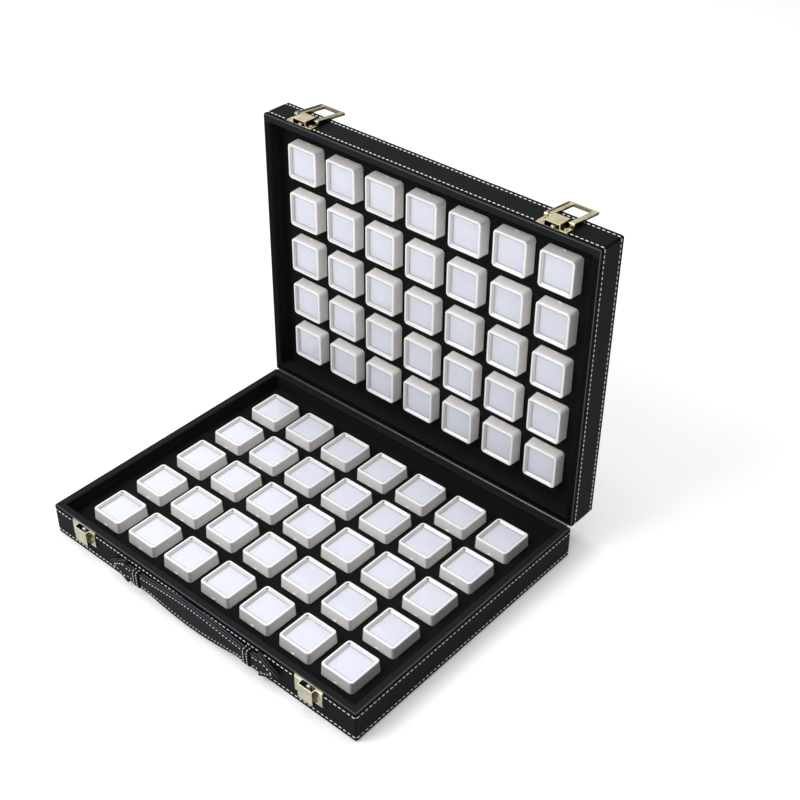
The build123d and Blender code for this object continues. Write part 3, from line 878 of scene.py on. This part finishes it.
for half in HALVES:
    rows = {"rim_sewing": wall_stops(RIM - SEAM_BELOW_RIM, half, True),
            "edge_sewing": wall_stops(SEAM_FROM_FACE, half, False),
            "face_sewing": face_stops(half)}
    for row, stops in rows.items():
        piece = sew(f"{half}_{row}", stops, half)
        print(piece.name, "stitches", len(stops), "faces", len(piece.data.polygons))

# %% [markdown]
# ## Handle strap
# The strap is layers of leatherette over a soft core, sewn along both edges.
# It lies flat against the case, is narrow where it passes the loops, wide in
# the middle, and ends in an arrowhead at each side that keeps it from
# slipping out. Its shape is a formula, so a grid is laid out by it: that
# keeps the sewn channels crisp, which a cloth simulation would smooth away.

# %% Strap outline
strap_low, strap_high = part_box("handle_strap")
STRAP_Z = (strap_low.z + strap_high.z) / 2
TIP = strap_high.x
SHOULDER = 69.5 * MM
BARB = 1.4 * MM
ARROW_HALF = 8.9 * MM
ARROW_MARGIN = 1.1 * MM
NECK_HALF = 5.9 * MM
MIDDLE_HALF = 10.2 * MM
TAPER_END = 60.0 * MM
STRAP_BACK_Y = -HALF_DEPTH - 0.4 * MM
STRAP_BOW = 0.2 * MM
EDGE_THICK = 3.65 * MM
PUFF = 0.12 * MM
SEAM_INSET = 1.95 * MM
CHANNEL_HALF = 0.6 * MM
CHANNEL_DEPTH = 0.14 * MM
EDGE_ROUND = 0.3 * MM
ARROW_SEAM = 1.45 * MM
LOWER_FOLD = 1.25 * MM
print("strap", 2 * TIP / MM, "mm long, middle at height", STRAP_Z / MM, "mm")


# %% Width and front of the band
def rounded(share):
    """The height of a quarter circle: 0 at its foot, and 1 from a share of 1 on."""
    return sqrt(1 - (1 - min(1.0, share)) ** 2)


def middle_share(x):
    """1 in the middle of the strap, falling to 0 where the neck begins."""
    return cos(pi * x / (2 * TAPER_END)) ** 2 if abs(x) < TAPER_END else 0.0


def band_half_width(x):
    return NECK_HALF + (MIDDLE_HALF - NECK_HALF) * middle_share(x)


def lower_fold(x, z):
    """How much wider the fold below the lower seam is: none where a loop can slide."""
    return LOWER_FOLD * min(1.0, 3 * max(0.0, middle_share(x) - 0.1)) if z < 0 else 0.0


def strap_back(x):
    return STRAP_BACK_Y - STRAP_BOW * middle_share(x)


def band_front(x, z):
    """How far out the band's front is: a folded edge, a sewn channel, a soft crown."""
    half = band_half_width(x)
    edge = half + lower_fold(x, z) - abs(z)
    folded = EDGE_ROUND * (1 - rounded(edge / EDGE_ROUND))
    past_seam = half - SEAM_INSET - abs(z)
    channel = CHANNEL_DEPTH * max(0.0, 1 - abs(past_seam) / CHANNEL_HALF)
    crown = PUFF * rounded(max(0.0, past_seam) / (half - SEAM_INSET))
    return strap_back(x) - EDGE_THICK + folded + channel - crown


# %% Shape the band
BAND_END = SHOULDER + BARB + 1.5 * MM
BAND_COLUMNS, BAND_ROWS = 140, 28


def make_band():
    bpy.ops.object.select_all(action="DESELECT")
    bpy.ops.mesh.primitive_grid_add(x_subdivisions=BAND_COLUMNS, y_subdivisions=BAND_ROWS, size=2)
    made = bake_place(bpy.context.active_object)
    for vertex in made.data.vertices:
        x = vertex.co.x * BAND_END
        level = sin(vertex.co.y * pi / 2)
        z = level * (band_half_width(x) + lower_fold(x, level))
        vertex.co = (x, band_front(x, z), STRAP_Z + z)
    select_only(made)
    bpy.ops.object.mode_set(mode="EDIT")
    bpy.ops.mesh.select_all(action="SELECT")
    bpy.ops.mesh.extrude_region_move(TRANSFORM_OT_translate={"value": (0, EDGE_THICK, 0)})
    bpy.ops.object.mode_set(mode="OBJECT")
    for vertex in made.data.vertices:
        if vertex.select:
            vertex.co.y = strap_back(vertex.co.x)
    return in_edit_mode(made, lambda: bpy.ops.mesh.normals_make_consistent(inside=False))


band = make_band()
print("band", [round(v / MM, 1) for v in band.dimensions])

# %% [markdown]
# An arrowhead starts as a four-cornered disc, laid out as notch, barb, tip
# and barb. It is extruded to the strap's thickness, and insets then press the
# sewn channel into its front and raise the padded middle. Four corners are
# enough, and they stay straight however often the face is inset.

# %% Shape the arrowheads
ARROW_INSETS = ((1.85, 0.0), (0.35, -0.14), (0.35, 0.14), (0.5, 0.08), (0.9, 0.05))
ARROW_EDGE = 0.35 * MM


def arrow_corners(inset=0.0):
    """The notch, a barb, the tip and the other barb, moved inwards by an inset."""
    length = TIP - SHOULDER
    slant = sqrt(length ** 2 + ARROW_HALF ** 2)
    half = ARROW_HALF - inset * (slant + ARROW_HALF) / length
    barb_x = SHOULDER + inset
    tip_x = TIP - inset * slant / ARROW_HALF
    return [(barb_x + BARB, 0.0), (barb_x, half), (tip_x, 0.0), (barb_x, -half)]


def make_arrow(side):
    bpy.ops.object.select_all(action="DESELECT")
    bpy.ops.mesh.primitive_circle_add(vertices=4, fill_type="NGON")
    made = bpy.context.active_object
    for vertex, (x, z) in zip(made.data.vertices, arrow_corners(-ARROW_MARGIN)):
        vertex.co = (side * x, STRAP_BACK_Y, STRAP_Z + z)
    made.data.update()
    select_only(made)
    bpy.ops.object.mode_set(mode="EDIT")
    bpy.ops.mesh.select_mode(type="FACE")
    bpy.ops.mesh.select_all(action="SELECT")
    if made.data.polygons[0].normal.y > 0:
        bpy.ops.mesh.flip_normals()
    bpy.ops.mesh.extrude_region_move(TRANSFORM_OT_translate={"value": (0, -EDGE_THICK, 0)})
    for thickness, depth in ARROW_INSETS:
        bpy.ops.mesh.inset(thickness=thickness * MM, depth=depth * MM)
    bpy.ops.mesh.select_all(action="SELECT")
    bpy.ops.mesh.normals_make_consistent(inside=False)
    bpy.ops.object.mode_set(mode="OBJECT")
    bevel = made.modifiers.new("edge", "BEVEL")
    bevel.width, bevel.segments = ARROW_EDGE, 3
    bevel.limit_method, bevel.angle_limit = "ANGLE", radians(60)
    return apply_modifiers(made)


# %% Join the strap
arrows = [make_arrow(side) for side in (-1, 1)]
select_only(band, *arrows)
bpy.ops.object.join()
strap = bpy.context.active_object
strap.name = "handle_strap_padded"
strap.data.materials.clear()
strap.data.materials.append(leathers["strap"].material)
smooth(strap, 40.0)
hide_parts("handle_strap")
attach(strap, "handle")
print("strap faces", len(strap.data.polygons))

# %% [markdown]
# The strap's stitches are a little finer than the case's. They follow its
# outline one seam width in, run round both arrowheads, and are left out
# under the loops.

# %% Set out the strap's stitches
LOOP_LOW, LOOP_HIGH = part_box("handle_loop_right")
LOOP_PLACE = (LOOP_LOW.x + LOOP_HIGH.x) / 2
HIDDEN_HALF = LOOP_HIGH.x - LOOP_PLACE + 0.6 * MM
STRAP_PITCH = 3.25 * MM
STRAP_STITCH = (0.62, 0.90)


def spaced(outline, pitch):
    """Evenly spaced points with their direction along a line of points."""
    lengths = [(end - start).length for start, end in zip(outline, outline[1:])]
    count = max(1, round(sum(lengths) / pitch))
    step = sum(lengths) / count
    places, travelled, wanted = [], 0.0, step / 2
    for start, end, length in zip(outline, outline[1:], lengths):
        while wanted <= travelled + length:
            places.append((start.lerp(end, (wanted - travelled) / length), end - start))
            wanted += step
        travelled += length
    return places


# %% Sew the strap
def strap_stops():
    stops = []
    outward = Vector((0, -1, 0))
    reach = SHOULDER - 0.5 * MM
    xs = [-reach + 2 * reach * n / BAND_COLUMNS for n in range(BAND_COLUMNS + 1)]
    for level in (-1, 1):
        line = [Vector((x, level * (band_half_width(x) - SEAM_INSET))) for x in xs]
        for point, way in spaced(line, STRAP_PITCH):
            if abs(abs(point.x) - LOOP_PLACE) > HIDDEN_HALF:
                place = Vector((point.x, band_front(point.x, point.y), STRAP_Z + point.y))
                stops.append((place, Vector((way.x, 0, way.y)), outward))
    corners = [Vector(corner) for corner in arrow_corners(ARROW_SEAM)]
    neck = NECK_HALF - SEAM_INSET
    for side in (-1, 1):
        for first, last in ((1, 2), (3, 2), (1, 0), (3, 0)):
            start, end = corners[first], corners[last]
            if last == 0:
                end = start.lerp(end, 1 - neck / abs(start.y))
            for point, way in spaced([start, end], STRAP_PITCH):
                place = Vector((side * point.x, STRAP_BACK_Y - EDGE_THICK + 0.1 * MM,
                                STRAP_Z + point.y))
                stops.append((place, Vector((side * way.x, 0, way.y)), outward))
    return stops


strap_sewing = sew("strap_sewing", strap_stops(), "handle", STRAP_STITCH)
print("strap stitches faces", len(strap_sewing.data.polygons))

# %% [markdown]
# ## Handle loops
# Each loop is a strip of leatherette that leaves the case, crosses over the
# strap and goes back in. A curve with a flat profile could follow that path,
# but a grid laid along it does more: its columns follow the strip, and its
# rows give the rolled edges and the two sewn channels. Solidify then gives it
# its thickness, inwards.

# %% The path of a loop
LOOP_WIDE = LOOP_HIGH.x - LOOP_LOW.x
LOOP_REACH = -HALF_DEPTH - LOOP_LOW.y
LOOP_RISE = (LOOP_HIGH.z - LOOP_LOW.z) / 2
LOOP_BEND = 1.8 * MM
LOOP_THICK = 0.75 * MM
LOOP_SEAM = 1.75 * MM
LOOP_CHANNEL = 0.18 * MM
LOOP_EDGE = 0.5 * MM


def loop_path(share):
    """Point out from the case and up, with its outward normal, along the strip."""
    straight, across = LOOP_REACH - LOOP_BEND, 2 * (LOOP_RISE - LOOP_BEND)
    arc = LOOP_BEND * pi / 2
    s = share * (2 * straight + 2 * arc + across)
    middle = straight + arc + across / 2
    mirrored = -1 if s > middle else 1
    s = min(s, 2 * middle - s)
    if s < straight:
        out, up, normal = s, LOOP_RISE, (0.0, 1.0)
    elif s < straight + arc:
        turn = (s - straight) / LOOP_BEND
        normal = (sin(turn), cos(turn))
        out = straight + LOOP_BEND * normal[0]
        up = LOOP_RISE - LOOP_BEND + LOOP_BEND * normal[1]
    else:
        out, up, normal = LOOP_REACH, LOOP_RISE - LOOP_BEND - (s - straight - arc), (1.0, 0.0)
    return (out, mirrored * up), (normal[0], mirrored * normal[1])


# %% One loop
def make_loop(name, middle_x):
    bpy.ops.object.select_all(action="DESELECT")
    bpy.ops.mesh.primitive_grid_add(x_subdivisions=44, y_subdivisions=16, size=2)
    made = bake_place(bpy.context.active_object)
    made.name = name
    for vertex in made.data.vertices:
        (out, up), normal = loop_path((vertex.co.x + 1) / 2)
        aside = sin(vertex.co.y * pi / 2) * LOOP_WIDE / 2
        edge = LOOP_WIDE / 2 - abs(aside)
        rolled = EDGE_ROUND * (1 - rounded(edge / LOOP_EDGE))
        channel = LOOP_CHANNEL * max(0.0, 1 - abs(abs(aside) - LOOP_SEAM) / CHANNEL_HALF)
        sink = rolled + channel
        vertex.co = (middle_x + aside, -HALF_DEPTH - out + normal[0] * sink,
                     STRAP_Z + up - normal[1] * sink)
    made.data.update()
    if sum(polygon.normal.y for polygon in made.data.polygons) > 0:
        made.data.flip_normals()
    wall = made.modifiers.new("wall", "SOLIDIFY")
    wall.thickness, wall.offset = LOOP_THICK, -1
    made.data.materials.append(leathers["loop"].material)
    return smooth(apply_modifiers(made), 45.0)


# %% Stitches of one loop
LOOP_STITCHES = 9
LOOP_STITCH = (0.55, 0.66)
LOOP_SEWN_FROM, LOOP_SEWN_TO = 0.07, 0.93


def loop_stops(middle_x):
    """Two even rows over the strip, each stitch turned along the path."""
    stops = []
    for column in (-1, 1):
        for n in range(LOOP_STITCHES):
            share = LOOP_SEWN_FROM + (LOOP_SEWN_TO - LOOP_SEWN_FROM) * n / (LOOP_STITCHES - 1)
            (out, up), normal = loop_path(share)
            (past, above), _ = loop_path(share + 0.02)
            place = Vector((middle_x + column * LOOP_SEAM, -HALF_DEPTH - out, STRAP_Z + up))
            along = Vector((0, out - past, above - up))
            stops.append((place, along, Vector((0, -normal[0], normal[1]))))
    return stops


# %% Both loops and their stitches
for side, sign in zip(SIDES, (-1, 1)):
    loop = make_loop(f"handle_loop_{side}_sewn", sign * LOOP_PLACE)
    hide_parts(f"handle_loop_{side}")
    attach(loop, "base")
    sew(f"loop_sewing_{side}", loop_stops(sign * LOOP_PLACE), "base", LOOP_STITCH)
    print(loop.name, "faces", len(loop.data.polygons))
bpy.data.objects.remove(stitch)

# %% [markdown]
# ## Camera
# The camera stands where the photograph was taken from. Its place, direction
# and lens were solved from the known spacing of the gem boxes.

# %% Camera
CAMERA_PLACE = Vector((565.86, -543.61, 720.90)) * MM
CAMERA_AZIMUTH = radians(41.208)
CAMERA_ELEVATION = radians(36.811)
SENSOR_WIDTH, FOCAL_LENGTH = 36.0, 62.36
camera_data = bpy.data.cameras.new("camera")
camera_data.sensor_width = SENSOR_WIDTH
camera_data.lens = FOCAL_LENGTH
camera = bpy.data.objects.new("camera", camera_data)
camera.location = CAMERA_PLACE
camera.rotation_euler = (pi / 2 - CAMERA_ELEVATION, 0, CAMERA_AZIMUTH)
bpy.context.scene.collection.objects.link(camera)
bpy.context.scene.camera = camera
print("camera", [round(v, 3) for v in camera.location], "lens", FOCAL_LENGTH)

# %% [markdown]
# ## Floor and light
# A pale floor and a soft sky give studio light. Two large lamps add
# direction: the main one is high at the front left, the other straight above.
# A weak one at the back is there for the metal, which needs something bright
# to mirror. The paper glows a little, as an evenly lit studio floor does.

# %% Floor
FLOOR_SIZE = 8.0
FLOOR_GAP = 0.4 * MM
bpy.ops.object.select_all(action="DESELECT")
bpy.ops.mesh.primitive_plane_add(size=FLOOR_SIZE, location=(0, 0, -FLOOR_GAP))
floor = bake_place(bpy.context.active_object)
floor.name = "floor"
floor_finish = Finish("floor_paper")
floor_finish.set(Base_Color=floor_finish.tint(floor_finish.noise(3.0, 3.0), (0.84, 0.84, 0.84),
                                              (0.87, 0.87, 0.87)),
                 Roughness=0.95, Specular_IOR_Level=0.1,
                 Emission_Color=(1, 1, 1, 1), Emission_Strength=0.22)
floor.data.materials.append(floor_finish.material)
print("floor", FLOOR_SIZE, "m wide")

# %% Lights
AIM = Vector((0, 0, 0.08))
LAMPS = {"key": ((-0.5, -1.0, 1.3), (0.9, 0.9), 16), "top": ((0.0, 0.2, 1.6), (1.4, 1.0), 12),
         "glint": ((-0.85, 1.0, 1.1), (1.2, 1.0), 4.5)}


def lamp(name, place, size, power):
    data = bpy.data.lights.new(name, "AREA")
    data.shape = "RECTANGLE"
    data.size, data.size_y = size
    data.energy = power
    made = bpy.data.objects.new(name, data)
    made.location = place
    made.rotation_euler = (AIM - Vector(place)).to_track_quat("-Z", "Y").to_euler()
    bpy.context.scene.collection.objects.link(made)
    print("lamp", name, size, "m", power, "W")


for name, (place, size, power) in LAMPS.items():
    lamp(name, place, size, power)

# %% Sky that is brighter at the left
SKY_COLOUR = (0.95, 0.97, 1.0, 1)
SKY_SLOPE = (-0.26, -0.12, 0.10)
SKY_MIDDLE = 0.36
world = bpy.data.worlds.new("studio")
bpy.context.scene.world = world
world.use_nodes = True
sky_nodes, sky_links = world.node_tree.nodes, world.node_tree.links
sky = sky_nodes["Background"]
sky.inputs["Color"].default_value = SKY_COLOUR
direction = sky_nodes.new("ShaderNodeTexCoord")
towards = sky_nodes.new("ShaderNodeVectorMath")
towards.operation = "DOT_PRODUCT"
towards.inputs[1].default_value = SKY_SLOPE
bright = sky_nodes.new("ShaderNodeMath")
bright.inputs[1].default_value = SKY_MIDDLE
sky_links.new(direction.outputs["Generated"], towards.inputs[0])
sky_links.new(towards.outputs["Value"], bright.inputs[0])
sky_links.new(bright.outputs[0], sky.inputs["Strength"])
bpy.context.scene.view_settings.view_transform = "Standard"
print("sky strength", SKY_MIDDLE, "slope", SKY_SLOPE)
